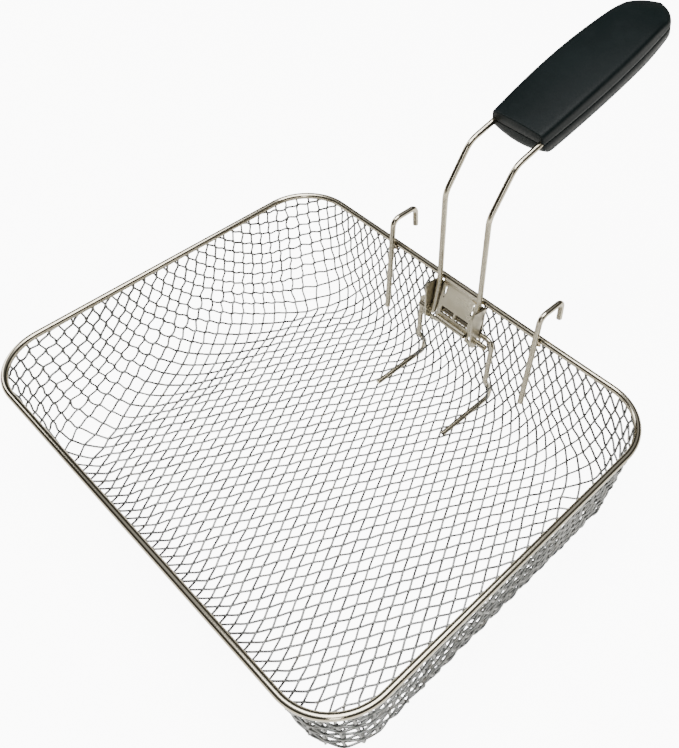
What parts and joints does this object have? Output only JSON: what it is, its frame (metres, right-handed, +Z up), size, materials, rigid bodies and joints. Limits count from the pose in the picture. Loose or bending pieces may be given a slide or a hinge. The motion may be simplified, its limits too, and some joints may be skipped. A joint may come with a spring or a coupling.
{
  "type": "wire frying basket with folding handle",
  "caption": "Rectangular woven-wire frying basket with a thick rim wire, pan hooks and an upright two-wire handle with a plastic grip that folds in over the basket.",
  "frame": {"origin": "below the middle of the rim, on the plane that the basket rests on", "axes": "+X along the long side, to the right seen from outside opposite the handle; +Y towards the side with the handle; +Z up"},
  "size_m": [0.2536, 0.3463, 0.1746],
  "materials": {
    "mesh_wire": "bright plated wire, woven",
    "rim_wire": "bright plated wire, polished",
    "thin_wire": "bright plated wire",
    "weld": "plated weld bead, slightly rough",
    "bracket_sheet": "plated pressed sheet, satin",
    "handle_wire": "bright plated wire",
    "grip_plastic": "very dark satin moulded plastic"
  },
  "bodies": {
    "basket": {"mesh_tray": "mesh_wire", "rim_wire": "rim_wire", "support_wire": "thin_wire", "hook_left": "thin_wire", "hook_right": "thin_wire", "weld_beads": "weld", "handle_bracket": "bracket_sheet"},
    "handle": {"handle_wire": "handle_wire", "grip_upper_shell": "grip_plastic", "grip_lower_shell": "grip_plastic"}
  },
  "joints": [
    {"name": "handle_fold", "type": "hinge", "parent": "basket", "child": "handle", "pos_m": [0, 0.09283, 0.046], "axis": [1, 0, 0], "range_deg": [0, 115]}
  ]
}
